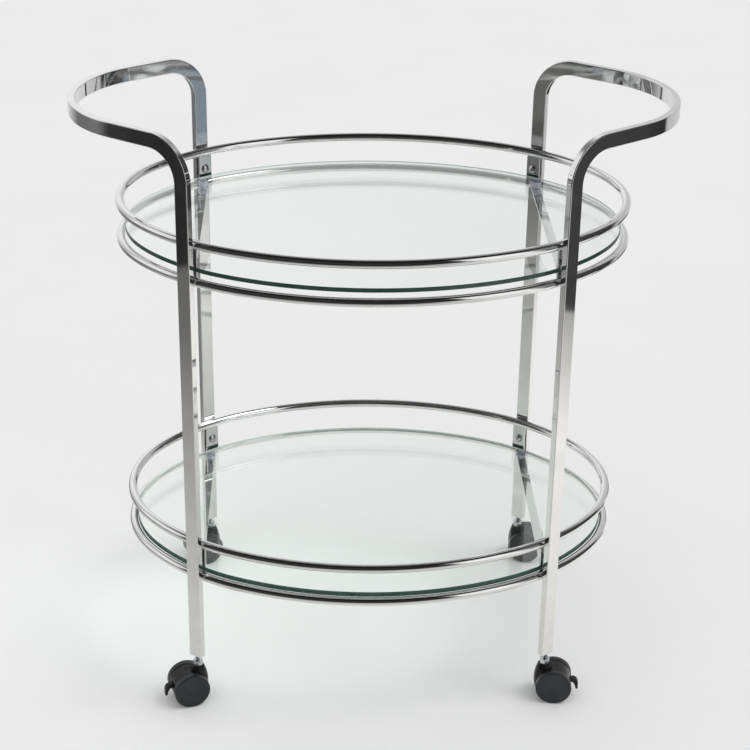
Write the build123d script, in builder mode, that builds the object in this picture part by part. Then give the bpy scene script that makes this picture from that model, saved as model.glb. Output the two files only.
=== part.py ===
from build123d import *
import math
import os

# Oval two-tier bar cart. X runs along the cart from handle to handle, the front faces -Y,
# the floor is Z = 0 and the origin lies under the middle of the cart. Sizes in millimetres.

# Trays
oval_half_length = 340.0        # rail centre line, along X
oval_half_width = 248.0         # rail centre line, along Y
oval_end_turn = 34.0            # degrees from the X axis at which an end arc meets a corner arc
oval_side_turn = 65.0           # and at which that corner arc meets a side arc
rail_diameter = 12.0
rail_wall = 1.2
rail_pitch = 51.0               # guard rail centre above support rail centre
lower_tray_height = 193.5       # support rail centre above the floor
upper_tray_height = 629.0

# Side frames
tube_width = 20.0               # along the oval at the leg, upright in the handle
tube_depth = 10.0
tube_wall = 1.2
tube_corner = 2.0
leg_turn = 54.35                # degrees from the X axis that a leg faces, on a corner arc of the oval
leg_bottom = 70.0
handle_top = 820.5
shoulder_radius = 50.0          # centre line of the bend at the top of each leg
handle_run = 62.5               # straight tube from each shoulder to the arc of the handle

# Tray brackets, cross bars and glass
plate_width = 20.0
plate_thickness = 3.0
screw_diameter = 5.0
screw_head_diameter = 12.5
screw_head_height = 3.2
screw_head_rim = 0.8
screw_grip = 5.0                # how far the screw runs on inside the leg
bar_width = 12.0
bar_thickness = 3.0
bar_offset = 238.0              # middle of each cross bar from the middle of the cart
glass_thickness = 6.0
glass_inset = 5.5               # glass edge inside the rail centre line
glass_polish = 0.8              # bevel on the glass edge
lower_glass_lift = 4.8          # underside of the glass above the support rail centre
upper_glass_lift = 10.6
pad_diameter = 16.0
pad_inset = 13.0                # pad centre from the end of the cross bar

# Casters, in the plane of the trail: the wheels follow behind the stem
wheel_diameter = 50.0
wheel_width = 10.0
wheel_edge = 1.3
caster_trail = 14.0             # wheel axle behind the stem
caster_width = 45.0             # outer face to outer face of the two wheels
hood_diameter = 48.4            # drum between the wheels
hood_floor_gap = 12.0
neck_top = 54.0
barrel_top = 9.2                # radii of the hood's barrel about the stem, at its top
barrel_belly = 14.0             # where it is widest
barrel_foot = 11.0              # and at its lower end
barrel_belly_up = 31.0          # widest place above the floor
barrel_round = 1.6              # rounding of its upper rim
stem_diameter = 6.0
swivel_diameter = 8.0
swivel_depth = 20.0
collar_flats = 13.0
collar_height = 7.5
axle_diameter = 5.0
axle_hub_depth = 6.0            # how far the axle reaches into each wheel
plug_height = 26.0
lever_width = 7.0
lever_pin_diameter = 3.0
lever_pivot_out = 15.5          # lever pin from the axle, along the trail
lever_pivot_up = 3.0            # and upward
lever_root = 3.6                # radius of the lever's eye
# Swivel of each caster at rest: degrees of the trail, counted from +X
front_left_trail = 199.5
front_right_trail = -6.5
rear_left_trail = 208.0
rear_right_trail = -15.0

# Clearances
weld_gap = 0.1                  # between pieces that are welded or pressed together
screw_gap = 0.05
plug_gap = 0.15
wheel_gap = 0.4                 # wheel to hood
swivel_gap = 0.3                # collar to hood neck
running_gap = 0.05              # pins and bores that turn on each other, radial
pressed_gap = 0.02              # pins that are held fast, radial
lever_gap = 0.5                 # lever to the sides of its slot

# Worked out from the sizes above
rail_radius = rail_diameter / 2
wheel_radius = wheel_diameter / 2
hood_radius = hood_diameter / 2
hood_width = caster_width - 2 * wheel_width - 2 * wheel_gap
lever_slot = lever_width + 2 * lever_gap
handle_height = handle_top - tube_width / 2
# The oval is eight tangent arcs: two at the ends, four at the corners and two along the sides.
# The corner radius is set, and the other two follow from the length and the width.
end_turn = math.radians(oval_end_turn)
side_turn = math.radians(oval_side_turn)
corner_radius = math.sqrt(oval_half_length * oval_half_width)
rest_x = oval_half_length - corner_radius * (math.cos(end_turn) - math.cos(side_turn))
rest_y = oval_half_width - corner_radius * (math.sin(side_turn) - math.sin(end_turn))
end_share_x = 1 - math.cos(end_turn)
end_share_y = math.sin(end_turn)
side_share_x = math.cos(side_turn)
side_share_y = 1 - math.sin(side_turn)
shares = end_share_x * side_share_y - side_share_x * end_share_y
end_radius = (rest_x * side_share_y - rest_y * side_share_x) / shares
side_radius = (rest_y * end_share_x - rest_x * end_share_y) / shares
end_x = oval_half_length - end_radius
side_y = oval_half_width - side_radius
corner_x = end_x + (end_radius - corner_radius) * math.cos(end_turn)
corner_y = (end_radius - corner_radius) * math.sin(end_turn)
# The legs stand outside the rails, square to the corner arcs
out_x = math.cos(math.radians(leg_turn))
out_y = math.sin(math.radians(leg_turn))
rail_x = corner_x + corner_radius * out_x
rail_y = corner_y + corner_radius * out_y
leg_standoff = rail_radius + weld_gap + tube_depth / 2
leg_x = rail_x + leg_standoff * out_x
leg_y = rail_y + leg_standoff * out_y
# The handle leaves each shoulder along the oval's tangent and closes with one arc about the X axis
shoulder_x = leg_x + shoulder_radius * out_y
shoulder_y = leg_y - shoulder_radius * out_x
run_x = shoulder_x + handle_run * out_y
run_y = shoulder_y - handle_run * out_x
handle_radius = run_y / out_y
handle_reach = run_x + handle_radius * (1 - out_x)
corners = [(1, 1), (-1, 1), (-1, -1), (1, -1)]

os.makedirs("parts", exist_ok=True)


def save(part, name):
    part.label = name
    export_step(part, "parts/" + name + ".step")


# Side frames: one tube from foot to foot, bent upward-outward at the shoulders and round the handle
def side_frame(side):
    def at(x, y, z):
        return (side * x, y, z)

    bend = shoulder_radius * math.sin(math.radians(45))
    rise = shoulder_radius - bend
    shoulder_z = handle_height - shoulder_radius
    foot = at(leg_x, leg_y, leg_bottom)
    with BuildPart() as frame:
        with BuildLine() as spine:
            for turn in (1, -1):
                Line(at(leg_x, turn * leg_y, leg_bottom), at(leg_x, turn * leg_y, shoulder_z))
                ThreePointArc(
                    at(leg_x, turn * leg_y, shoulder_z),
                    at(leg_x + rise * out_y, turn * (leg_y - rise * out_x), shoulder_z + bend),
                    at(shoulder_x, turn * shoulder_y, handle_height),
                )
                Line(
                    at(shoulder_x, turn * shoulder_y, handle_height),
                    at(run_x, turn * run_y, handle_height),
                )
            ThreePointArc(
                at(run_x, run_y, handle_height),
                at(handle_reach, 0, handle_height),
                at(run_x, -run_y, handle_height),
            )
        with BuildSketch(Plane(origin=foot, x_dir=(side * out_y, -out_x, 0), z_dir=(0, 0, 1))):
            RectangleRounded(tube_width, tube_depth, tube_corner)
            Rectangle(
                tube_width - 2 * tube_wall,
                tube_depth - 2 * tube_wall,
                mode=Mode.SUBTRACT,
            )
        sweep(path=spine.line)
        # Screw holes in the inner wall of both legs, one per tray
        for turn in (1, -1):
            for tray in (lower_tray_height, upper_tray_height):
                hole = Plane(
                    origin=at(leg_x, turn * leg_y, tray + rail_pitch / 2),
                    x_dir=(0, 0, 1),
                    z_dir=(-side * out_x, -turn * out_y, 0),
                )
                with BuildSketch(hole):
                    Circle(screw_diameter / 2 + screw_gap)
                extrude(amount=tube_depth, mode=Mode.SUBTRACT)
    return frame


right_side_frame = side_frame(1)
save(right_side_frame.part, "right_side_frame")
left_side_frame = side_frame(-1)
save(left_side_frame.part, "left_side_frame")


# The oval of the trays, moved outward by an offset, for the line being drawn
def oval_arcs(offset):
    corner_arc = oval_side_turn - oval_end_turn
    side_arc = 180 - 2 * oval_side_turn
    for half, turn in ((1, 0), (-1, 180)):
        CenterArc((half * end_x, 0), end_radius + offset, turn - oval_end_turn, 2 * oval_end_turn)
        CenterArc(
            (half * corner_x, half * corner_y),
            corner_radius + offset,
            turn + oval_end_turn,
            corner_arc,
        )
        CenterArc((0, half * side_y), side_radius + offset, turn + oval_side_turn, side_arc)
        CenterArc(
            (-half * corner_x, half * corner_y),
            corner_radius + offset,
            turn + oval_side_turn + side_arc,
            corner_arc,
        )


# Oval rails: round tube bent into a closed loop
def oval_rail(height):
    with BuildPart() as rail:
        with BuildLine(Plane.XY.offset(height)) as oval:
            oval_arcs(0)
        start = Plane(origin=oval.line @ 0, x_dir=(0, 0, 1), z_dir=oval.line % 0)
        with BuildSketch(start):
            Circle(rail_radius)
            Circle(rail_radius - rail_wall, mode=Mode.SUBTRACT)
        sweep(path=oval.line)
    return rail


# Upright plates that join the two rails of a tray at the four legs
def bracket_plates(tray):
    height = rail_pitch - rail_diameter - 2 * weld_gap
    with BuildPart() as plates:
        for along, across in corners:
            face = Plane(
                origin=(along * rail_x, across * rail_y, tray + rail_pitch / 2),
                x_dir=(0, 0, 1),
                z_dir=(along * out_x, across * out_y, 0),
            )
            with BuildSketch(face):
                RectangleRounded(height, plate_width, 1.0)
                Circle(screw_diameter / 2 + screw_gap, mode=Mode.SUBTRACT)
            extrude(amount=plate_thickness / 2, both=True)
    return plates


# One round-headed screw, its head seated on Z = 0 and its shank running up +Z
screw_length = plate_thickness / 2 + rail_radius + weld_gap + tube_wall + screw_grip
with BuildPart() as screw:
    with BuildSketch(Plane.XZ):
        with BuildLine():
            TangentArc(
                (0, -screw_head_height),
                (screw_head_diameter / 2, -screw_head_rim),
                tangent=(1, 0),
            )
            Polyline(
                (screw_head_diameter / 2, -screw_head_rim),
                (screw_head_diameter / 2, 0),
                (screw_diameter / 2, 0),
                (screw_diameter / 2, screw_length),
                (0, screw_length),
                (0, -screw_head_height),
            )
        make_face()
    revolve(axis=Axis.Z)


def bracket_screws(tray):
    seats = []
    for along, across in corners:
        seats.append(
            Plane(
                origin=(
                    along * (rail_x - plate_thickness / 2 * out_x),
                    across * (rail_y - plate_thickness / 2 * out_y),
                    tray + rail_pitch / 2,
                ),
                x_dir=(0, 0, 1),
                z_dir=(along * out_x, across * out_y, 0),
            )
        )
    with BuildPart() as screws:
        with Locations(*seats):
            add(screw.part)
    return screws


# Flat bars from front to back under the glass, their ends cut to the inside of the support rail
bar_end_offset = -rail_radius - 2 * weld_gap
bar_half_length = corner_y + math.sqrt(
    (corner_radius + bar_end_offset) ** 2 - (bar_offset - corner_x) ** 2
)


def cross_bars(tray):
    with BuildPart() as bars:
        with BuildSketch(Plane.XY.offset(tray)):
            with BuildLine():
                oval_arcs(bar_end_offset)
            make_face()
            with Locations((bar_offset, 0), (-bar_offset, 0)):
                Rectangle(bar_width, 2 * oval_half_width, mode=Mode.INTERSECT)
        extrude(amount=bar_thickness / 2, both=True)
    return bars


def glass_pads(tray, lift):
    reach = bar_half_length - pad_inset
    with BuildPart() as pads:
        with BuildSketch(Plane.XY.offset(tray + bar_thickness / 2)):
            with Locations(*[(along * bar_offset, across * reach) for along, across in corners]):
                Circle(pad_diameter / 2)
        extrude(amount=lift - bar_thickness / 2)
    return pads


def glass_shelf(tray, lift):
    with BuildPart() as glass:
        with BuildSketch(Plane.XY.offset(tray + lift)):
            with BuildLine():
                oval_arcs(-glass_inset)
            make_face()
        extrude(amount=glass_thickness)
        chamfer(glass.edges().group_by(Axis.Z)[0] + glass.edges().group_by(Axis.Z)[-1], glass_polish)
    return glass


for level, tray, lift in (
    ("lower", lower_tray_height, lower_glass_lift),
    ("upper", upper_tray_height, upper_glass_lift),
):
    save(oval_rail(tray).part, level + "_support_rail")
    save(oval_rail(tray + rail_pitch).part, level + "_guard_rail")
    save(bracket_plates(tray).part, level + "_bracket_plates")
    save(bracket_screws(tray).part, level + "_bracket_screws")
    save(cross_bars(tray).part, level + "_cross_bars")
    save(glass_pads(tray, lift).part, level + "_glass_pads")
    save(glass_shelf(tray, lift).part, level + "_glass_shelf")

# Caster pieces are drawn once about the stem axis with the wheels trailing toward +X,
# then set under each leg and turned to its place.
axle_out = caster_trail
axle_up = wheel_radius
pivot_out = axle_out + lever_pivot_out
pivot_up = axle_up + lever_pivot_up
collar_bottom = neck_top + swivel_gap

# Stem: hexagon collar, thread up into the leg, plain swivel pin down into the hood
with BuildPart() as stem:
    with BuildSketch(Plane.XY.offset(collar_bottom)):
        RegularPolygon(collar_flats / 2, 6, major_radius=False)
    extrude(amount=collar_height)
    chamfer(stem.edges().group_by(Axis.Z)[-1], 1.2)
    with BuildSketch(Plane.XY.offset(collar_bottom)):
        Circle(stem_diameter / 2)
    extrude(amount=leg_bottom + plug_height - 4 - collar_bottom)
    with BuildSketch(Plane.XY.offset(neck_top - swivel_depth)):
        Circle(swivel_diameter / 2)
    extrude(amount=swivel_depth + swivel_gap)

# Hood: a drum between the wheels that runs into a swelling barrel round the stem
def hood_body(braked):
    rim = barrel_round * (1 - math.cos(math.radians(45)))
    with BuildPart() as hood:
        with BuildSketch(Plane.XZ):
            with BuildLine():
                ThreePointArc(
                    (barrel_foot, hood_floor_gap),
                    (barrel_belly, barrel_belly_up),
                    (barrel_top, neck_top - barrel_round),
                )
                ThreePointArc(
                    (barrel_top, neck_top - barrel_round),
                    (barrel_top - rim, neck_top - rim),
                    (barrel_top - barrel_round, neck_top),
                )
                Polyline(
                    (barrel_top - barrel_round, neck_top),
                    (0, neck_top),
                    (0, hood_floor_gap),
                    (barrel_foot, hood_floor_gap),
                )
            make_face()
        revolve(axis=Axis.Z)
        with BuildSketch(Plane.XY):
            Rectangle(2 * wheel_diameter, hood_width)
        extrude(amount=neck_top, mode=Mode.INTERSECT)
        with BuildSketch(Plane.XZ):
            with Locations((axle_out, axle_up)):
                Circle(hood_radius)
            with Locations((axle_out, hood_floor_gap)):
                Rectangle(
                    2 * wheel_diameter,
                    wheel_diameter,
                    align=(Align.CENTER, Align.MAX),
                    mode=Mode.SUBTRACT,
                )
        extrude(amount=hood_width / 2, both=True)
        # Bores for the swivel pin and the axle
        with BuildSketch(Plane.XY.offset(neck_top)):
            Circle(swivel_diameter / 2 + running_gap)
        extrude(amount=-swivel_depth - swivel_gap, mode=Mode.SUBTRACT)
        with BuildSketch(Plane.XZ):
            with Locations((axle_out, axle_up)):
                Circle(axle_diameter / 2 + pressed_gap)
        extrude(amount=caster_width, both=True, mode=Mode.SUBTRACT)
        if braked:
            # Slot at the trailing end for the lever, and the hole for its pin
            with BuildSketch(Plane.XZ):
                with BuildLine():
                    Polyline(
                        (pivot_out - lever_root - 1, pivot_up + lever_root + 1),
                        (pivot_out + wheel_radius, pivot_up + lever_root + 3),
                        (pivot_out + wheel_radius, 0),
                        (pivot_out - lever_root - 1, 0),
                        close=True,
                    )
                make_face()
            extrude(amount=lever_slot / 2, both=True, mode=Mode.SUBTRACT)
            with BuildSketch(Plane.XZ):
                with Locations((pivot_out, pivot_up)):
                    Circle(lever_pin_diameter / 2 + pressed_gap)
            extrude(amount=hood_width, both=True, mode=Mode.SUBTRACT)
    return hood


plain_hood = hood_body(False)
braked_hood = hood_body(True)

with BuildPart() as axle:
    with BuildSketch(Plane.XZ):
        with Locations((axle_out, axle_up)):
            Circle(axle_diameter / 2)
    extrude(amount=hood_width / 2 + wheel_gap + axle_hub_depth, both=True)


# Wheel: flat outer face, soft tread edges, hollow behind with a hub for the axle
def caster_wheel(hand):
    inner = hand * (caster_width / 2 - wheel_width)
    face = Plane(origin=(axle_out, inner, axle_up), x_dir=(1, 0, 0), z_dir=(0, hand, 0))
    with BuildPart() as wheel:
        with BuildSketch(face):
            Circle(wheel_radius)
        extrude(amount=wheel_width)
        chamfer(wheel.edges().filter_by(GeomType.CIRCLE), wheel_edge)
        with BuildSketch(face):
            Circle(wheel_radius - 5)
            Circle(axle_diameter / 2 + 4, mode=Mode.SUBTRACT)
            Circle(axle_diameter / 2 + running_gap)
        extrude(amount=axle_hub_depth + wheel_gap, mode=Mode.SUBTRACT)
    return wheel


right_wheel = caster_wheel(-1)
left_wheel = caster_wheel(1)

# Brake lever: an eye on the pin, an arm out of the hood and a hooked toe turned down
with BuildPart() as lever:
    with BuildSketch(Plane.XZ) as lever_side:
        with BuildLine():
            Polyline(
                (pivot_out, pivot_up - lever_root + 0.5),
                (pivot_out, pivot_up + lever_root - 0.5),
                (pivot_out + 12.5, pivot_up + 4.0),
                (pivot_out + 16.8, pivot_up + 2.0),
                (pivot_out + 19.0, pivot_up - 2.5),
                (pivot_out + 19.2, pivot_up - 13.2),
                (pivot_out + 16.4, pivot_up - 13.6),
                (pivot_out + 14.8, pivot_up - 7.5),
                (pivot_out + 11.5, pivot_up - 2.6),
                close=True,
            )
        make_face()
        fillet(lever_side.vertices(), 0.9)
        with Locations((pivot_out, pivot_up)):
            Circle(lever_root)
            Circle(lever_pin_diameter / 2 + running_gap, mode=Mode.SUBTRACT)
    extrude(amount=lever_width / 2, both=True)

with BuildPart() as lever_pin:
    with BuildSketch(Plane.XZ):
        with Locations((pivot_out, pivot_up)):
            Circle(lever_pin_diameter / 2)
    extrude(amount=hood_width / 2 - 1, both=True)

# Plug in the foot of a leg, threaded for the caster stem, drawn with its foot on Z = 0
with BuildPart() as plug:
    with BuildSketch(Plane.XY):
        RectangleRounded(
            tube_width - 2 * tube_wall - 2 * plug_gap,
            tube_depth - 2 * tube_wall - 2 * plug_gap,
            tube_corner - tube_wall / 2,
        )
        Circle(stem_diameter / 2 + pressed_gap, mode=Mode.SUBTRACT)
    extrude(amount=plug_height)

feet = []
for along, across in corners:
    feet.append(
        Plane(
            origin=(along * leg_x, across * leg_y, leg_bottom),
            x_dir=(along * out_y, -across * out_x, 0),
            z_dir=(0, 0, 1),
        )
    )
with BuildPart() as leg_plugs:
    with Locations(*feet):
        add(plug.part)
save(leg_plugs.part, "leg_plugs")

casters = [
    ("front_left", -1, -1, front_left_trail, True),
    ("front_right", 1, -1, front_right_trail, True),
    ("rear_left", -1, 1, rear_left_trail, False),
    ("rear_right", 1, 1, rear_right_trail, False),
]
places = {}
for name, along, across, trail, braked in casters:
    turn = math.radians(trail)
    places[name] = Plane(
        origin=(along * leg_x, across * leg_y, 0),
        x_dir=(math.cos(turn), math.sin(turn), 0),
        z_dir=(0, 0, 1),
    )
with BuildPart() as caster_stems:
    with Locations(*places.values()):
        add(stem.part)
save(caster_stems.part, "caster_stems")
for name, along, across, trail, braked in casters:
    place = places[name].location
    save((braked_hood if braked else plain_hood).part.moved(place), name + "_caster_hood")
    save(axle.part.moved(place), name + "_caster_axle")
    save(right_wheel.part.moved(place), name + "_caster_wheel_a")
    save(left_wheel.part.moved(place), name + "_caster_wheel_b")
    if braked:
        save(lever.part.moved(place), name + "_brake_lever")
        save(lever_pin.part.moved(place), name + "_brake_pin")
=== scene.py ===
import bmesh
import bpy
import math
from mathutils import Matrix, Vector


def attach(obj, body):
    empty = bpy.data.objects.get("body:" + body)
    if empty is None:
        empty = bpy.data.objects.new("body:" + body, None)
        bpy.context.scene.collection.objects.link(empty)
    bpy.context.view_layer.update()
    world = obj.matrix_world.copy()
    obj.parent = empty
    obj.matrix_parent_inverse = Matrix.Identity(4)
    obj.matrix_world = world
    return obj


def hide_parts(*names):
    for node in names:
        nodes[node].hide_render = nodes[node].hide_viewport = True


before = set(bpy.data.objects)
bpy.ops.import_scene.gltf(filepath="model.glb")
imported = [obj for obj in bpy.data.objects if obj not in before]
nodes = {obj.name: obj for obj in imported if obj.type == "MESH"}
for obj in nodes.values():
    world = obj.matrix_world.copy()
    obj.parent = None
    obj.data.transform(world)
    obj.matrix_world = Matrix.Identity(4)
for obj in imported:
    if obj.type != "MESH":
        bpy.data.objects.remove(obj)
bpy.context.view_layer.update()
scene = bpy.context.scene
upward = Vector((0, 0, 1))

# Sizes of the cart in metres, as the CAD has them, apart from the tube corner and the lower glass
oval_half_length = 0.340
oval_half_width = 0.248
oval_end_turn = math.radians(34.0)
oval_side_turn = math.radians(65.0)
rail_radius = 0.006
rail_pitch = 0.051
tray_heights = {"lower": 0.1935, "upper": 0.629}
# The lower glass reaches 1.2 mm lower than in the CAD, since the photograph shows no gap over its rail
glass_lifts = {"lower": 0.0036, "upper": 0.0106}
glass_depths = {"lower": 0.0072, "upper": 0.006}
glass_inset = 0.0055
glass_polish = 0.0008
tube_width = 0.020
tube_depth = 0.010
# The CAD has 2 mm, and the photograph shows sharper edges
tube_corner = 0.0013
leg_turn = math.radians(54.35)
leg_bottom = 0.070
handle_height = 0.8105
shoulder_radius = 0.050
handle_run = 0.0625
weld_gap = 0.0001
plate_thickness = 0.003
screw_head_radius = 0.00625
screw_head_height = 0.0032
screw_head_rim = 0.0008
screw_shank_radius = 0.0025
screw_shank_length = 0.0138
bar_offset = 0.238
bar_thickness = 0.003
pad_radius = 0.008
pad_inset = 0.013
wheel_radius = 0.025
wheel_width = 0.010
caster_trail = 0.014
caster_width = 0.045
neck_top = 0.054
collar_gap = 0.0003
collar_flats = 0.013
collar_height = 0.0075
stem_radius = 0.003
stem_top = 0.092
pin_radius = 0.004
pin_depth = 0.020
trails = {
    "front_left": math.radians(199.5),
    "front_right": math.radians(-6.5),
    "rear_left": math.radians(208.0),
    "rear_right": math.radians(-15.0),
}
sides = {
    "front_left": (-1, -1),
    "front_right": (1, -1),
    "rear_left": (-1, 1),
    "rear_right": (1, 1),
}

# The oval's arcs, worked out as in the CAD
corner_radius = math.sqrt(oval_half_length * oval_half_width)
rest_x = oval_half_length - corner_radius * (math.cos(oval_end_turn) - math.cos(oval_side_turn))
rest_y = oval_half_width - corner_radius * (math.sin(oval_side_turn) - math.sin(oval_end_turn))
end_share_x = 1 - math.cos(oval_end_turn)
end_share_y = math.sin(oval_end_turn)
side_share_x = math.cos(oval_side_turn)
side_share_y = 1 - math.sin(oval_side_turn)
shares = end_share_x * side_share_y - side_share_x * end_share_y
end_radius = (rest_x * side_share_y - rest_y * side_share_x) / shares
side_radius = (rest_y * end_share_x - rest_x * end_share_y) / shares
end_x = oval_half_length - end_radius
side_y = oval_half_width - side_radius
corner_x = end_x + (end_radius - corner_radius) * math.cos(oval_end_turn)
corner_y = (end_radius - corner_radius) * math.sin(oval_end_turn)
out_x = math.cos(leg_turn)
out_y = math.sin(leg_turn)
rail_x = corner_x + corner_radius * out_x
rail_y = corner_y + corner_radius * out_y
leg_standoff = rail_radius + weld_gap + tube_depth / 2
leg_x = rail_x + leg_standoff * out_x
leg_y = rail_y + leg_standoff * out_y


def oval_point(turn, offset):
    """Point of the oval, moved outward by offset, where its normal makes the angle turn with +X."""
    out = Vector((math.cos(turn), math.sin(turn)))
    quarter = math.asin(min(1.0, abs(out.y)))
    right = 1 if out.x >= 0 else -1
    back = 1 if out.y >= 0 else -1
    if quarter < oval_end_turn:
        return Vector((right * end_x, 0)) + out * (end_radius + offset)
    if quarter < oval_side_turn:
        return Vector((right * corner_x, back * corner_y)) + out * (corner_radius + offset)
    return Vector((0, back * side_y)) + out * (side_radius + offset)


def full_turns(steps):
    """Angles in equal steps once round."""
    return [math.tau * k / steps for k in range(steps)]


def quarter_turns(steps):
    """Angles in equal steps from 0 to 90 degrees, with both ends."""
    return [math.radians(90) * k / steps for k in range(steps + 1)]


# Materials

# Sockets of a Mix node that is set to colours
mix_first = 6
mix_second = 7
mix_colour = 2


def node_adder(tree):
    """A function that adds a node to the tree, with its settings, inputs and links."""

    def add(kind, inputs=None, **settings):
        node = tree.nodes.new(kind)
        for key, value in settings.items():
            setattr(node, key, value)
        for key, value in (inputs or {}).items():
            if isinstance(value, bpy.types.NodeSocket):
                tree.links.new(value, node.inputs[key])
            else:
                node.inputs[key].default_value = value
        return node

    return add


def new_material(name):
    """A node material with its tree, its Principled shader and its node adder."""
    material = bpy.data.materials.new(name)
    material.use_nodes = True
    tree = material.node_tree
    return material, tree, tree.nodes["Principled BSDF"], node_adder(tree)


def noise(add, scale, detail):
    place = add("ShaderNodeTexCoord").outputs["Object"]
    inputs = {"Vector": place, "Scale": scale, "Detail": detail}
    return add("ShaderNodeTexNoise", inputs).outputs["Fac"]


def spread(add, value, low, high, start=0.3, end=0.7):
    """From low to high as the value goes from start to end."""
    inputs = {"Value": value, "From Min": start, "From Max": end, "To Min": low, "To Max": high}
    return add("ShaderNodeMapRange", inputs).outputs["Result"]


def reckoned(add, operation, *values):
    return add("ShaderNodeMath", dict(enumerate(values)), operation=operation).outputs[0]


def mixed(add, share, first, second):
    """The first colour where share is 0, the second where it is 1."""
    inputs = {"Factor": share, mix_first: first, mix_second: second}
    return add("ShaderNodeMix", inputs, data_type="RGBA").outputs[mix_colour]


def tint(add, share, dark, light):
    return mixed(add, share, (*dark, 1), (*light, 1))


def scaled(add, colour, level):
    return add("ShaderNodeVectorMath", {0: colour, "Scale": level}, operation="SCALE").outputs[0]


def graded(add, value, stops):
    """Light level along a value, straight between its (place, level) stops."""
    first, last = stops[0][0], stops[-1][0]
    node = add("ShaderNodeValToRGB", {"Fac": spread(add, value, 0.0, 1.0, first, last)})
    elements = node.color_ramp.elements
    for place, _ in stops[1:-1]:
        elements.new((place - first) / (last - first))
    for element, (_, level) in zip(elements, stops):
        element.color = (level, level, level, 1)
    return node.outputs["Color"]


def compass(add, x, y):
    """Angle of (x, y) from +X in degrees, -180 to 180."""
    return reckoned(add, "DEGREES", reckoned(add, "ARCTAN2", y, x))


def mirror_share(add):
    """1 for what metal or glass mirrors, 0 for what is seen straight or through glass or lights a surface."""
    path = add("ShaderNodeLightPath").outputs
    mirrors = reckoned(add, "MINIMUM", path["Glossy Depth"], 1.0)
    inputs = {0: mirrors, 1: path["Diffuse Depth"]}
    return add("ShaderNodeMath", inputs, operation="SUBTRACT", use_clamp=True).outputs[0]


def bumped(add, tree, shader, height, strength, distance):
    bump = add("ShaderNodeBump", {"Height": height, "Strength": strength, "Distance": distance})
    tree.links.new(bump.outputs["Normal"], shader.inputs["Normal"])


def metal(name, dark, light, roughness, wave, wave_scale):
    """Plated metal: faint smudges in colour and gloss, and a very slight waviness of the surface."""
    material, tree, shader, add = new_material(name)
    smudge = spread(add, noise(add, scale=38.0, detail=5.0), 0.0, 1.0)
    fine = noise(add, scale=900.0, detail=2.0)
    gloss = reckoned(add, "MULTIPLY", smudge, fine)
    tree.links.new(tint(add, smudge, dark, light), shader.inputs["Base Color"])
    tree.links.new(spread(add, gloss, *roughness, start=0.0, end=0.6), shader.inputs["Roughness"])
    shader.inputs["Metallic"].default_value = 1.0
    bumped(add, tree, shader, noise(add, wave_scale, detail=2.0), strength=0.25, distance=wave)
    return material


def plastic(name, dark, light, roughness, grain, depth, shine):
    """Moulded plastic: fine texture, slightly uneven gloss and colour."""
    material, tree, shader, add = new_material(name)
    patch = spread(add, noise(add, scale=55.0, detail=4.0), 0.0, 1.0)
    tree.links.new(tint(add, patch, dark, light), shader.inputs["Base Color"])
    tree.links.new(spread(add, patch, *roughness, start=0.0, end=1.0), shader.inputs["Roughness"])
    shader.inputs["Specular IOR Level"].default_value = shine
    bumped(add, tree, shader, noise(add, grain, detail=3.0), strength=0.4, distance=depth)
    return material


def clear(name, roughness, ior, absorb, density):
    """Clear solid: tinted by its depth, with a light smear, and open to the lamps."""
    material, tree, shader, add = new_material(name)
    smear = spread(add, noise(add, scale=14.0, detail=5.0), *roughness)
    tree.links.new(smear, shader.inputs["Roughness"])
    shader.inputs["Base Color"].default_value = (1.0, 1.0, 1.0, 1)
    shader.inputs["Transmission Weight"].default_value = 1.0
    shader.inputs["IOR"].default_value = ior
    lamps = add("ShaderNodeLightPath").outputs["Is Shadow Ray"]
    through = add("ShaderNodeBsdfTransparent", {"Color": (0.97, 0.98, 0.975, 1)})
    mix = add("ShaderNodeMixShader", {0: lamps, 1: shader.outputs[0], 2: through.outputs[0]})
    depth = add("ShaderNodeVolumeAbsorption", {"Color": (*absorb, 1), "Density": density})
    output = tree.nodes["Material Output"]
    tree.links.new(mix.outputs[0], output.inputs["Surface"])
    tree.links.new(depth.outputs[0], output.inputs["Volume"])
    return material


def glass_rim_with_painted_light(name, dark, light):
    """Edge of the glass: deep green from outside, its own edge colour with its lightness painted in, and a
    painted pale colour inside that stands in for light seen through the sheet.
    """
    material, tree, shader, add = new_material(name)
    cloud = spread(add, noise(add, scale=60.0, detail=4.0), 0.0, 1.0)
    outside = tint(add, cloud, dark, light)
    # Painted light: the pale colour inside stands in for the light that comes through the sheet, not for a
    # colour of the glass.
    inside = tint(add, cloud, (0.70, 0.77, 0.735), (0.80, 0.855, 0.825))
    behind = add("ShaderNodeNewGeometry").outputs["Backfacing"]
    tree.links.new(mixed(add, behind, outside, inside), shader.inputs["Base Color"])
    gloss = spread(add, noise(add, scale=300.0, detail=3.0), 0.16, 0.30)
    tree.links.new(gloss, shader.inputs["Roughness"])
    return material


def soft_clear(name, dark, light, roughness):
    """Milky soft plastic that lets some light through."""
    material, tree, shader, add = new_material(name)
    cloud = spread(add, noise(add, scale=220.0, detail=4.0), 0.0, 1.0)
    tree.links.new(tint(add, cloud, dark, light), shader.inputs["Base Color"])
    tree.links.new(spread(add, cloud, *roughness, start=0.0, end=1.0), shader.inputs["Roughness"])
    shader.inputs["Transmission Weight"].default_value = 0.4
    shader.inputs["IOR"].default_value = 1.45
    bumped(add, tree, shader, noise(add, scale=700.0, detail=2.0), strength=0.3, distance=0.00003)
    return material


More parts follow.
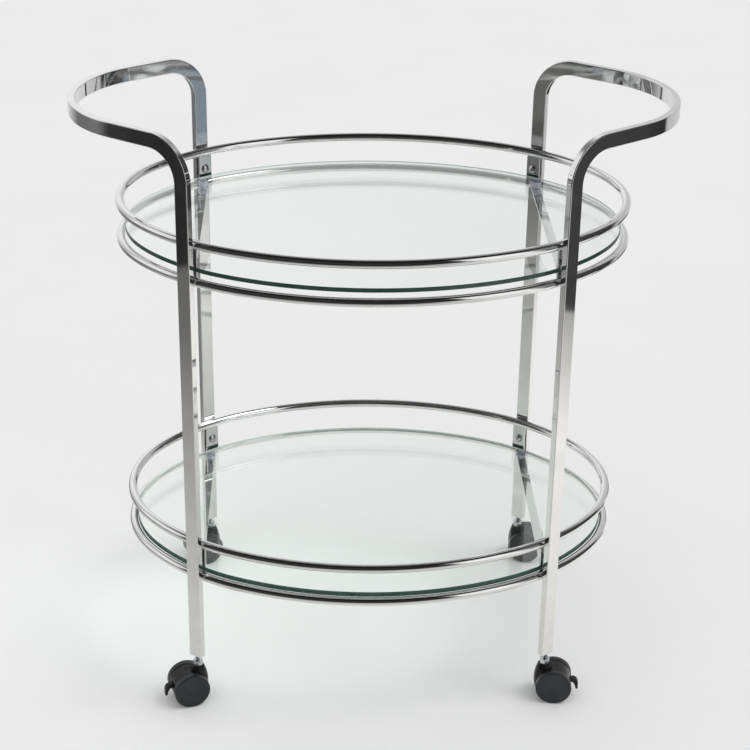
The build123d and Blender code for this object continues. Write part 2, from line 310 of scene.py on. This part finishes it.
chrome = metal(
    "chrome", (0.81, 0.81, 0.812), (0.875, 0.875, 0.876),
    roughness=(0.02, 0.07), wave=0.00012, wave_scale=26.0,
)
plate_metal = metal(
    "plate_metal", (0.68, 0.69, 0.71), (0.78, 0.785, 0.80),
    roughness=(0.14, 0.26), wave=0.00008, wave_scale=240.0,
)
screw_metal = metal(
    "screw_metal", (0.60, 0.60, 0.61), (0.74, 0.74, 0.75),
    roughness=(0.16, 0.30), wave=0.00004, wave_scale=500.0,
)
zinc = metal(
    "zinc", (0.58, 0.61, 0.65), (0.72, 0.74, 0.77),
    roughness=(0.22, 0.36), wave=0.00005, wave_scale=420.0,
)
hood_black = plastic(
    "hood_black", (0.0045, 0.0045, 0.005), (0.008, 0.008, 0.0085),
    roughness=(0.16, 0.26), grain=1400.0, depth=0.00002, shine=0.3,
)
wheel_grey = plastic(
    "wheel_grey", (0.0105, 0.0125, 0.0155), (0.015, 0.0175, 0.0215),
    roughness=(0.30, 0.40), grain=1800.0, depth=0.00004, shine=0.45,
)
plug_black = plastic(
    "plug_black", (0.018, 0.018, 0.019), (0.028, 0.028, 0.029),
    roughness=(0.5, 0.65), grain=1200.0, depth=0.00004, shine=0.5,
)
glass = clear("glass", roughness=(0.004, 0.01), ior=1.5, absorb=(0.30, 0.92, 0.55), density=5.5)
# Lit and shaded copies of one edge colour: the lower edge's green is painted lighter than the upper edge's,
# and that difference is painted light, not a difference in the glass.
glass_edges_painted_light = {
    "lower": glass_rim_with_painted_light("lower_glass_edge_painted_light", (0.036, 0.088, 0.072), (0.058, 0.116, 0.098)),
    "upper": glass_rim_with_painted_light("upper_glass_edge_painted_light", (0.014, 0.050, 0.038), (0.026, 0.068, 0.055)),
}
vinyl = soft_clear("vinyl", (0.72, 0.74, 0.88), (0.86, 0.86, 0.92), roughness=(0.18, 0.32))


# Pieces


def outward_mesh(name, verts, faces):
    """A mesh whose faces all turn outward."""
    mesh = bpy.data.meshes.new(name)
    mesh.from_pydata([tuple(v) for v in verts], [], faces)
    work = bmesh.new()
    work.from_mesh(mesh)
    bmesh.ops.recalc_face_normals(work, faces=work.faces)
    work.to_mesh(mesh)
    work.free()
    return mesh


def piece(name, verts, faces, material, body, normals=None, sharp=None):
    """A mesh piece that rides on a body. Exact vertex normals, or sharp edges above an angle."""
    mesh = outward_mesh(name, verts, faces)
    for polygon in mesh.polygons:
        polygon.use_smooth = True
    if normals:
        mesh.normals_split_custom_set_from_vertices([tuple(n) for n in normals])
    elif sharp:
        mesh.set_sharp_from_angle(angle=math.radians(sharp))
    obj = bpy.data.objects.new(name, mesh)
    scene.collection.objects.link(obj)
    mesh.materials.append(material)
    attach(obj, body)
    return obj


def swept(rings, closed):
    """Faces that join rings of points in order, with flat ends where the run is open."""
    count = len(rings[0])
    verts = [v for ring in rings for v in ring]
    faces = []
    for i in range(len(rings) if closed else len(rings) - 1):
        here = i * count
        there = (i + 1) % len(rings) * count
        for k in range(count):
            after = (k + 1) % count
            faces.append((here + k, here + after, there + after, there + k))
    if not closed:
        faces.append(tuple(range(count))[::-1])
        faces.append(tuple(range(len(verts) - count, len(verts))))
    return verts, faces


def lathed(profile, steps, place):
    """Profile of (radius, height) pairs turned about the local Z axis; radius 0 closes an end."""
    verts, faces, rings = [], [], []
    for radius, height in profile:
        if radius <= 0:
            rings.append([len(verts)] * steps)
            verts.append(place @ Vector((0, 0, height)))
            continue
        rings.append([len(verts) + k for k in range(steps)])
        for turn in full_turns(steps):
            verts.append(place @ Vector((radius * math.cos(turn), radius * math.sin(turn), height)))
    for low, high in zip(rings, rings[1:]):
        for k in range(steps):
            after = (k + 1) % steps
            face = [low[k], low[after], high[after], high[k]]
            faces.append(tuple(dict.fromkeys(face)))
    return verts, faces


def joined(parts):
    """Vertices and faces of several parts as one."""
    verts, faces = [], []
    for part_verts, part_faces in parts:
        faces += [tuple(i + len(verts) for i in face) for face in part_faces]
        verts += part_verts
    return verts, faces


def axes(origin, x_axis, y_axis, z_axis):
    """Matrix of a frame with that origin and those axes."""
    return Matrix(
        [
            (x_axis[0], y_axis[0], z_axis[0], origin[0]),
            (x_axis[1], y_axis[1], z_axis[1], origin[1]),
            (x_axis[2], y_axis[2], z_axis[2], origin[2]),
            (0, 0, 0, 1),
        ]
    )


# Oval rails: round tube in a closed loop
rail_steps = 360
rail_sides = 32
for level, height in tray_heights.items():
    for kind, rise in (("support", 0.0), ("guard", rail_pitch)):
        rings, normals = [], []
        for turn in full_turns(rail_steps):
            centre = oval_point(turn, 0).to_3d()
            centre.z = height + rise
            out = Vector((math.cos(turn), math.sin(turn), 0))
            ring = []
            for tilt in full_turns(rail_sides):
                normal = out * math.cos(tilt) - upward * math.sin(tilt)
                ring.append(centre + normal * rail_radius)
                normals.append(normal)
            rings.append(ring)
        verts, faces = swept(rings, True)
        rail = piece(f"{level}_{kind}_rail_tube", verts, faces, chrome, "cart_frame", normals)
        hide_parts(f"{level}_{kind}_rail")

# Side frames: flat-sided tube up each leg, over the shoulders and round the handle
tube_corner_steps = 5
leg_stations = (0.2, 0.35, 0.5, 0.65)
shoulder_lead = 0.01
shoulder_steps = 20
run_steps = 3
handle_steps = 40


def tube_section():
    """(across, deep, normal across, normal deep) round the tube's section."""
    points = []
    half_width = tube_width / 2 - tube_corner
    half_depth = tube_depth / 2 - tube_corner
    for quarter, (side_w, side_d) in enumerate(((1, 1), (-1, 1), (-1, -1), (1, -1))):
        for k in range(tube_corner_steps + 1):
            turn = math.radians(90) * (quarter + k / tube_corner_steps)
            normal_w, normal_d = math.cos(turn), math.sin(turn)
            across = side_w * half_width + tube_corner * normal_w
            deep = side_d * half_depth + tube_corner * normal_d
            points.append((across, deep, normal_w, normal_d))
    return points


def frame_path():
    """(centre, width axis, depth axis) along the front half of the right frame, foot to handle middle."""
    along = Vector((out_y, out_x, 0))
    out = Vector((out_x, -out_y, 0))
    leg = Vector((leg_x, -leg_y, 0))
    shoulder_z = handle_height - shoulder_radius
    stations = []
    for z in (leg_bottom, *leg_stations, shoulder_z - shoulder_lead):
        stations.append((leg + upward * z, along, out))
    for turn in quarter_turns(shoulder_steps):
        rise = upward * (shoulder_z + shoulder_radius * math.sin(turn))
        centre = leg + along * shoulder_radius * (1 - math.cos(turn)) + rise
        stations.append((centre, along * math.cos(turn) - upward * math.sin(turn), out))
    bend_end = leg + along * shoulder_radius + upward * handle_height
    for k in range(1, run_steps + 1):
        stations.append((bend_end + along * handle_run * k / run_steps, -upward, out))
    run_end = bend_end + along * handle_run
    handle_radius = -run_end.y / out_y
    handle_centre = Vector((run_end.x - handle_radius * out_x, 0, handle_height))
    for k in range(1, handle_steps + 1):
        turn = -leg_turn * (1 - k / handle_steps)
        out_here = Vector((math.cos(turn), math.sin(turn), 0))
        stations.append((handle_centre + out_here * handle_radius, -upward, out_here))
    return stations


section = tube_section()
front_path = frame_path()
front_to_back = Vector((1, -1, 1))
back_path = [tuple(vector * front_to_back for vector in station) for station in front_path[-2::-1]]
for name, side in (("left", -1), ("right", 1)):
    mirror = Vector((side, 1, 1))
    rings, normals = [], []
    for centre, wide, deep in front_path + back_path:
        ring = []
        for across, depth, normal_w, normal_d in section:
            ring.append((centre + wide * across + deep * depth) * mirror)
            normals.append((wide * normal_w + deep * normal_d) * mirror)
        rings.append(ring)
    verts, faces = swept(rings, False)
    tube = piece(f"{name}_side_tube", verts, faces, chrome, "cart_frame", normals)
    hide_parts(f"{name}_side_frame")

# Glass shelves with polished edges
glass_steps = 288
for level, height in tray_heights.items():
    bottom = height + glass_lifts[level]
    top = bottom + glass_depths[level]
    rings = []
    for inset, z in (
        (glass_inset + glass_polish, bottom),
        (glass_inset, bottom + glass_polish),
        (glass_inset, top - glass_polish),
        (glass_inset + glass_polish, top),
    ):
        ring = []
        for turn in full_turns(glass_steps):
            point = oval_point(turn, -inset).to_3d()
            point.z = z
            ring.append(point)
        rings.append(ring)
    verts, faces = swept(rings, False)
    shelf = piece(f"{level}_glass_plate", verts, faces, glass, "cart_frame", sharp=30)
    shelf.data.materials.append(glass_edges_painted_light[level])
    for polygon in shelf.data.polygons:
        if len(polygon.vertices) == 4:
            polygon.material_index = 1
    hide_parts(f"{level}_glass_shelf")

# Soft clear pads with rounded rims between the cross bars and the glass
pad_rim = 0.0014
pad_rim_share = 0.4
pad_foot_share = 0.3
pad_rim_steps = 6
pad_steps = 40
bar_end_offset = -rail_radius - 2 * weld_gap
bar_half_length = corner_y + math.sqrt((corner_radius + bar_end_offset) ** 2 - (bar_offset - corner_x) ** 2)
for level, height in tray_heights.items():
    low = height + bar_thickness / 2
    high = height + glass_lifts[level]
    rim = min(pad_rim, (high - low) * pad_rim_share)
    foot = rim * pad_foot_share
    profile = [(0, low), (pad_radius - foot, low), (pad_radius, low + foot)]
    for turn in quarter_turns(pad_rim_steps):
        profile.append((pad_radius - rim + rim * math.cos(turn), high - rim + rim * math.sin(turn)))
    profile.append((0, high))
    parts = []
    for along in (-1, 1):
        for across in (-1, 1):
            place = Matrix.Translation((along * bar_offset, across * (bar_half_length - pad_inset), 0))
            parts.append(lathed(profile, pad_steps, place))
    verts, faces = joined(parts)
    pads = piece(f"{level}_clear_pads", verts, faces, vinyl, "cart_frame", sharp=40)
    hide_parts(f"{level}_glass_pads")

# Bracket screws: domed heads with a cross recess
dome_steps = 9
dome_fullness = 0.62
screw_edge = 0.00015
screw_steps = 48
screw_first_turn = 57
screw_turn_step = 41
recess_clearance = 0.001
recess_bottom = -0.0011
recess_arms = (0.0031, 0.0017)
recess_webs = (0.00062, 0.00042)


def cross_cutter(place):
    """Closed tapered cross that cuts the driver recess, drawn in the head's own frame."""
    rings = []
    levels = (-screw_head_height - recess_clearance, recess_bottom)
    for arm, web, z in zip(recess_arms, recess_webs, levels):
        outline = [
            (arm, web), (web, web), (web, arm), (-web, arm), (-web, web), (-arm, web),
            (-arm, -web), (-web, -web), (-web, -arm), (web, -arm), (web, -web), (arm, -web),
        ]
        rings.append([place @ Vector((x, y, z)) for x, y in outline])
    return swept(rings, False)


def scratch_object(name, verts, faces):
    obj = bpy.data.objects.new(name, outward_mesh(name, verts, faces))
    scene.collection.objects.link(obj)
    return obj


def cut(verts, faces, cut_verts, cut_faces):
    """Vertices and faces of a solid with another taken out of it."""
    body = scratch_object("cut_body", verts, faces)
    tool = scratch_object("cut_tool", cut_verts, cut_faces)
    change = body.modifiers.new("cut", "BOOLEAN")
    change.operation = "DIFFERENCE"
    change.solver = "EXACT"
    change.object = tool
    result = bpy.data.meshes.new_from_object(body.evaluated_get(bpy.context.evaluated_depsgraph_get()))
    out_verts = [v.co.copy() for v in result.vertices]
    out_faces = [tuple(p.vertices) for p in result.polygons]
    for obj in (body, tool):
        mesh = obj.data
        bpy.data.objects.remove(obj)
        bpy.data.meshes.remove(mesh)
    bpy.data.meshes.remove(result)
    return out_verts, out_faces


def screw_profile():
    """Outline of the screw from the top of its dome to the end of its shank."""
    profile = [(0, -screw_head_height)]
    dome_height = screw_head_height - screw_head_rim
    for k in range(1, dome_steps + 1):
        reach = k / dome_steps
        fall = (1 - math.sqrt(1 - dome_fullness * reach**2)) / (1 - math.sqrt(1 - dome_fullness))
        profile.append((screw_head_radius * reach, -screw_head_height + dome_height * fall))
    profile += [
        (screw_head_radius, -screw_edge),
        (screw_head_radius - screw_edge, 0),
        (screw_shank_radius, 0),
        (screw_shank_radius, screw_shank_length),
        (0, screw_shank_length),
    ]
    return profile


for level, height in tray_heights.items():
    parts = []
    for index, (along, across) in enumerate(sides.values()):
        out = Vector((along * out_x, across * out_y, 0))
        seat = Vector((along * rail_x, across * rail_y, height + rail_pitch / 2)) - out * plate_thickness / 2
        turn = math.radians(screw_first_turn + screw_turn_step * index)
        place = axes(seat, upward.cross(out), upward, out) @ Matrix.Rotation(turn, 4, "Z")
        parts.append(cut(*lathed(screw_profile(), screw_steps, place), *cross_cutter(place)))
    verts, faces = joined(parts)
    screws = piece(
        f"{level}_cross_screws", verts, faces, screw_metal, "cart_frame", sharp=32
    )
    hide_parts(f"{level}_bracket_screws")

# Caster stems: chamfered hexagon collar, screw thread above it, plain pin below
collar_low = neck_top + collar_gap
collar_high = collar_low + collar_height
collar_corner = collar_flats / math.sqrt(3)
collar_steps = 36
# Share of the corner radius that is left at each height of the collar
collar_rings = (
    (0.93, collar_low),
    (0.985, collar_low + 0.0006),
    (0.985, collar_high - 0.0011),
    (0.86, collar_high),
)
thread_pitch = 0.001
thread_depth = 0.00055
thread_sink = 0.0002
thread_rings = 12
thread_steps = 24
pin_chamfer = 0.0006
pin_overlap = 0.0001
pin_steps = 32


def collar(foot, heading):
    rings = []
    for share, z in collar_rings:
        ring = []
        for turn in full_turns(collar_steps):
            to_flat = (turn + math.radians(30)) % math.radians(60) - math.radians(30)
            radius = min(collar_flats / 2 / math.cos(to_flat), collar_corner * share)
            x, y = radius * math.cos(turn + heading), radius * math.sin(turn + heading)
            ring.append(foot + Vector((x, y, z)))
        rings.append(ring)
    return swept(rings, False)


def thread(foot):
    rings = []
    for k in range(int((stem_top - collar_high) / thread_pitch * thread_rings)):
        z = collar_high - thread_sink + thread_pitch * k / thread_rings
        ring = []
        for s, turn in enumerate(full_turns(thread_steps)):
            ridge = abs((z / thread_pitch - s / thread_steps) % 1.0 - 0.5) * 2
            radius = stem_radius - thread_depth * ridge
            ring.append(foot + Vector((radius * math.cos(turn), radius * math.sin(turn), z)))
        rings.append(ring)
    return swept(rings, False)


def plain_pin(foot):
    bottom = neck_top - pin_depth
    top = collar_low + pin_overlap
    profile = [
        (0, bottom),
        (pin_radius - pin_chamfer, bottom),
        (pin_radius, bottom + pin_chamfer),
        (pin_radius, top),
        (0, top),
    ]
    return lathed(profile, pin_steps, Matrix.Translation(foot))


parts = []
for name, (along, across) in sides.items():
    foot = Vector((along * leg_x, across * leg_y, 0))
    parts += [collar(foot, trails[name]), thread(foot), plain_pin(foot)]
verts, faces = joined(parts)
stems = piece("threaded_stems", verts, faces, zinc, "cart_frame", sharp=25)
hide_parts("caster_stems")

# Caster wheels: flat disc with a soft tread edge and a fine step inside the rim
wheel_steps = 96
axle_hole_radius = 0.0024
hub_radius = 0.0066
rim_inner_radius = 0.0200
hollow_depth = 0.0064
inner_edge = 0.0014
outer_edge = 0.0016
edge_steps = 6
rim_step_radii = (0.0222, 0.0219, 0.0216)
rim_step_sink = 0.0002
face_sink = 0.00028
cap_radii = (0.0040, 0.0037)
cap_sink = 0.00045


def wheel_profile():
    """Outline of a wheel from its hollow inner side, height 0, round the tread to its outer face."""
    profile = [
        (0, hollow_depth),
        (axle_hole_radius, hollow_depth),
        (axle_hole_radius, 0.0),
        (hub_radius, 0.0),
        (hub_radius, hollow_depth),
        (rim_inner_radius, hollow_depth),
        (rim_inner_radius, 0.0),
        (wheel_radius - outer_edge, 0.0),
    ]
    for turn in quarter_turns(edge_steps)[1:]:
        radius = wheel_radius - inner_edge + inner_edge * math.sin(turn)
        profile.append((radius, inner_edge - inner_edge * math.cos(turn)))
    for turn in quarter_turns(edge_steps):
        radius = wheel_radius - outer_edge + outer_edge * math.cos(turn)
        profile.append((radius, wheel_width - outer_edge + outer_edge * math.sin(turn)))
    profile += [
        (rim_step_radii[0], wheel_width),
        (rim_step_radii[1], wheel_width - rim_step_sink),
        (rim_step_radii[2], wheel_width - face_sink),
        (cap_radii[0], wheel_width - face_sink),
        (cap_radii[1], wheel_width - cap_sink),
        (0, wheel_width - cap_sink),
    ]
    return profile


for name, (along, across) in sides.items():
    trail = Vector((math.cos(trails[name]), math.sin(trails[name]), 0))
    left = Vector((-trail.y, trail.x, 0))
    axle = Vector((along * leg_x, across * leg_y, wheel_radius)) + trail * caster_trail
    for hand, letter in ((-1, "a"), (1, "b")):
        inner = axle + left * hand * (caster_width / 2 - wheel_width)
        place = axes(inner, trail, Vector((0, 0, -hand)), left * hand)
        verts, faces = lathed(wheel_profile(), wheel_steps, place)
        body = f"{name}_wheel_{letter}"
        wheel = piece(
            f"{name}_wheel_disc_{letter}", verts, faces, wheel_grey, body, sharp=38
        )
        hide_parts(f"{name}_caster_wheel_{letter}")

# Moulded hoods and levers: the CAD solid with its edges softened
hood_edge = 0.0011
lever_edge = 0.0007
edge_segments = 3
edge_angle = math.radians(35)
weld_distance = 1e-6
flat_angle = math.radians(1.0)


def softened(node, name, width, material, body):
    """A copy of the CAD node with rounded edges, which rides on the body in its place."""
    source = nodes[node]
    mesh = source.data.copy()
    mesh.name = name
    work = bmesh.new()
    work.from_mesh(mesh)
    work.transform(source.matrix_world)
    bmesh.ops.remove_doubles(work, verts=work.verts, dist=weld_distance)
    bmesh.ops.dissolve_limit(work, angle_limit=flat_angle, verts=work.verts, edges=work.edges)
    work.to_mesh(mesh)
    work.free()
    obj = bpy.data.objects.new(name, mesh)
    scene.collection.objects.link(obj)
    bevel = obj.modifiers.new("edges", "BEVEL")
    bevel.width = width
    bevel.segments = edge_segments
    bevel.limit_method = "ANGLE"
    bevel.angle_limit = edge_angle
    bevel.harden_normals = False
    mesh.materials.clear()
    mesh.materials.append(material)
    for polygon in mesh.polygons:
        polygon.use_smooth = True
        polygon.material_index = 0
    normals = obj.modifiers.new("normals", "WEIGHTED_NORMAL")
    normals.keep_sharp = True
    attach(obj, body)
    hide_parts(node)


for name in sides:
    hood = f"{name}_caster_hood"
    softened(hood, f"{name}_hood_moulding", hood_edge, hood_black, f"{name}_caster")
    lever = f"{name}_brake_lever"
    if lever in nodes:
        softened(lever, f"{name}_lever_moulding", lever_edge, hood_black, f"{name}_brake")

# The CAD nodes that keep their own shape
finishes = {
    "bracket_plates": plate_metal,
    "cross_bars": chrome,
    "leg_plugs": plug_black,
    "axle": zinc,
    "pin": zinc,
}
for name, node in nodes.items():
    for ending, material in finishes.items():
        if name.endswith(ending):
            node.data.materials.clear()
            node.data.materials.append(material)

# Floor: pale paper, which mirrors show as a lit sheet on the floor of a room with dark and bright areas, all
# painted into the colour that mirror rays see on the floor
floor_reach = 12
paper_colours = ((0.815, 0.815, 0.815), (0.83, 0.83, 0.83))
# Painted light levels in the mirrors: on the sheet by X and by Y, and off the sheet by the angle from +X
sheet_light_by_x = (
    (-1.8, 0.18), (-1.45, 0.2), (-0.9, 0.44), (-0.4, 0.66), (0.4, 0.84), (0.9, 1.0), (1.1, 0.96),
    (1.35, 0.66), (1.6, 0.44),
)
sheet_light_by_y = ((-2.2, 0.05), (-1.5, 0.3), (-0.9, 0.62), (-0.25, 1.0), (1.0, 1.0))
sheet_bright_side = (0.45, 1.0)
sheet_warmth = (1.0, 0.985, 0.955)
sheet_area = (-1.79, 1.59, -2.4, 1.4, 0.02)
floor_by_angle = (
    (-180, 0.18), (-172, 0.09), (-165, 0.025), (-58, 0.02), (-52, 0.85), (-32, 0.9), (-27, 0.06),
    (18, 0.03), (23, 0.54), (50, 0.65), (80, 0.75), (118, 0.75), (140, 0.35), (150, 0.17), (180, 0.18),
)
# Areas of the mirrored floor: X from and to, Y from and to, soft border
blue_area = (1.66, 2.26, -0.9, -0.6, 0.04)
blue = (0.24, 0.31, 0.40)
# Painted highlight: a small bright patch that mirrors show as a glint.
painted_glint_area = (2.14, 2.36, -0.99, -0.96, 0.015)
painted_glint = (0.95, 0.95, 0.95)
olive_area = (-2.4, -1.79, -1.3, -0.8, 0.03)
olive = (0.20, 0.195, 0.18)
pale_area = (-2.6, -2.2, -0.58, -0.3, 0.03)
pale = (0.75, 0.75, 0.75)
# Painted light: a brighter patch on the sheet that mirrors show as a pool of light.
painted_light_pool_area = (1.2, 1.64, -0.9, -0.51, 0.03)
painted_light_pool = (0.95, 0.95, 0.93)
dark_area = (0.66, 1.7, 0.3, 1.5, 0.08)
dark = (0.04, 0.04, 0.04)
dim_area = (-1.7, -0.55, 0.4, 1.5, 0.08)
dim = (0.22, 0.22, 0.22)
# Strip across the dark area that stays as bright as the sheet: Y at X = 0, slope, half width, end of border
strip_start = 0.067
strip_slope = 0.49
strip_half_width = 0.06
strip_border = 0.12


def paper_floor():
    """The floor and its material."""
    material, tree, shader, add = new_material("pale_paper")
    mottle = spread(add, noise(add, scale=3.0, detail=4.0), 0.0, 1.0)
    tree.links.new(tint(add, mottle, *paper_colours), shader.inputs["Base Color"])
    shader.inputs["Roughness"].default_value = 0.9
    shader.inputs["Specular IOR Level"].default_value = 0.0
    at = add("ShaderNodeSeparateXYZ", {0: add("ShaderNodeTexCoord").outputs["Object"]})
    x, y = at.outputs["X"], at.outputs["Y"]

    def between(value, low, high, soft):
        rise = spread(add, value, 0.0, 1.0, low - soft, low)
        return reckoned(add, "MULTIPLY", rise, spread(add, value, 1.0, 0.0, high, high + soft))

    def inside(x_low, x_high, y_low, y_high, soft):
        """1 inside a rectangle of the floor, 0 outside it, with a soft border."""
        return reckoned(add, "MULTIPLY", between(x, x_low, x_high, soft), between(y, y_low, y_high, soft))

    room = graded(add, compass(add, x, y), floor_by_angle)
    for area, colour in ((blue_area, blue), (painted_glint_area, painted_glint), (olive_area, olive), (pale_area, pale)):
        room = mixed(add, inside(*area), room, (*colour, 1))
    bright_side = spread(add, x, 0.0, 1.0, *sheet_bright_side)
    front = reckoned(add, "MAXIMUM", graded(add, y, sheet_light_by_y), bright_side)
    level = reckoned(add, "MULTIPLY", graded(add, x, sheet_light_by_x), front)
    room = mixed(add, inside(*sheet_area), room, scaled(add, sheet_warmth, level))
    room = mixed(add, inside(*painted_light_pool_area), room, (*painted_light_pool, 1))
    from_slope = reckoned(add, "SUBTRACT", y, reckoned(add, "MULTIPLY", x, strip_slope))
    from_strip = reckoned(add, "ABSOLUTE", reckoned(add, "SUBTRACT", from_slope, strip_start))
    off_strip = spread(add, from_strip, 0.0, 1.0, strip_half_width, strip_border)
    room = mixed(add, reckoned(add, "MULTIPLY", off_strip, inside(*dark_area)), room, (*dark, 1))
    room = mixed(add, inside(*dim_area), room, (*dim, 1))
    reflected = add("ShaderNodeBsdfDiffuse", {"Color": room})
    inputs = {0: mirror_share(add), 1: shader.outputs[0], 2: reflected.outputs[0]}
    mix = add("ShaderNodeMixShader", inputs)
    tree.links.new(mix.outputs[0], tree.nodes["Material Output"].inputs["Surface"])
    mesh = bpy.data.meshes.new("paper_floor")
    corners = [(floor_reach * i, floor_reach * j, 0) for i, j in ((-1, -1), (1, -1), (1, 1), (-1, 1))]
    mesh.from_pydata(corners, [], [(0, 1, 2, 3)])
    mesh.materials.append(material)
    floor = bpy.data.objects.new("paper_floor", mesh)
    scene.collection.objects.link(floor)


paper_floor()

# World: even pale light, which mirrors show as a room with bright and dark walls and a dim back ceiling
world_colour = (0.82, 0.82, 0.82, 1)
room_glow = 0.012
# Levels of the walls by the angle from +X, and the heights in degrees between which they fade out
walls_by_angle = (
    (-180, 0.85), (-174, 0.75), (-167, 0.03), (-60.5, 0.015), (-57, 0.95), (-36, 1.0), (-29, 0.25),
    (-12, 0.15), (-3, 0.04), (22, 0.04), (32, 0.5), (60, 0.58), (79, 0.64), (97, 0.9), (118, 0.9),
    (142, 0.5), (158, 0.85), (180, 0.85),
)
wall_fade = (54, 36)
# The ceiling comes in between these heights in degrees and these shares of the way to the back
ceiling_rise = (48, 60)
ceiling_back = (0.12, 0.4)
ceiling_level = 0.3


def studio():
    world = bpy.data.worlds.new("studio")
    world.use_nodes = True
    scene.world = world
    tree = world.node_tree
    add = node_adder(tree)

    def ramp(value, start, end):
        inputs = {"Value": value, "From Min": start, "From Max": end, "To Min": 0.0, "To Max": 1.0}
        return add("ShaderNodeMapRange", inputs, interpolation_type="SMOOTHSTEP").outputs["Result"]

    way = add("ShaderNodeSeparateXYZ", {0: add("ShaderNodeTexCoord").outputs["Generated"]})
    x, y, z = way.outputs["X"], way.outputs["Y"], way.outputs["Z"]
    height = reckoned(add, "DEGREES", reckoned(add, "ARCSINE", z))
    around = graded(add, compass(add, x, y), walls_by_angle)
    walls = reckoned(add, "MULTIPLY", around, ramp(height, *wall_fade))
    above = reckoned(add, "MULTIPLY", ramp(y, *ceiling_back), ramp(height, *ceiling_rise))
    ceiling = reckoned(add, "MULTIPLY", above, ceiling_level)
    level = reckoned(add, "ADD", reckoned(add, "ADD", walls, ceiling), room_glow)
    mirrored = scaled(add, (1.0, 1.0, 1.0), level)
    colour = mixed(add, mirror_share(add), world_colour, mirrored)
    tree.links.new(colour, tree.nodes["Background"].inputs["Color"])


studio()

# Key light from the right and above, wide enough for soft shadows
key_data = bpy.data.lights.new("key", "SUN")
key_data.energy = 0.75
key_data.angle = math.radians(26)
key = bpy.data.objects.new("key", key_data)
key_way = Vector((-0.62, 0.12, -1.0))
key.rotation_euler = key_way.to_track_quat("-Z", "Y").to_euler()
key.visible_glossy = False
scene.collection.objects.link(key)

# Camera at the photograph's place, fitted to the rails and legs
camera_place = (-0.0855, -2.3659, 1.5412)
yaw, pitch, roll = 0.03845, 0.44525, 0.0157
camera_data = bpy.data.cameras.new("camera")
camera_data.sensor_width = 36.0
camera_data.lens = 89.39
camera_data.clip_end = 100
camera = bpy.data.objects.new("camera", camera_data)
scene.collection.objects.link(camera)
ahead = Vector((math.sin(yaw) * math.cos(pitch), math.cos(yaw) * math.cos(pitch), -math.sin(pitch)))
level_right = Vector((math.cos(yaw), -math.sin(yaw), 0))
level_up = level_right.cross(ahead)
camera_right = level_right * math.cos(roll) + level_up * math.sin(roll)
camera_up = level_up * math.cos(roll) - level_right * math.sin(roll)
camera.matrix_world = axes(camera_place, camera_right, camera_up, -ahead)
scene.camera = camera
scene.view_settings.view_transform = "Standard"
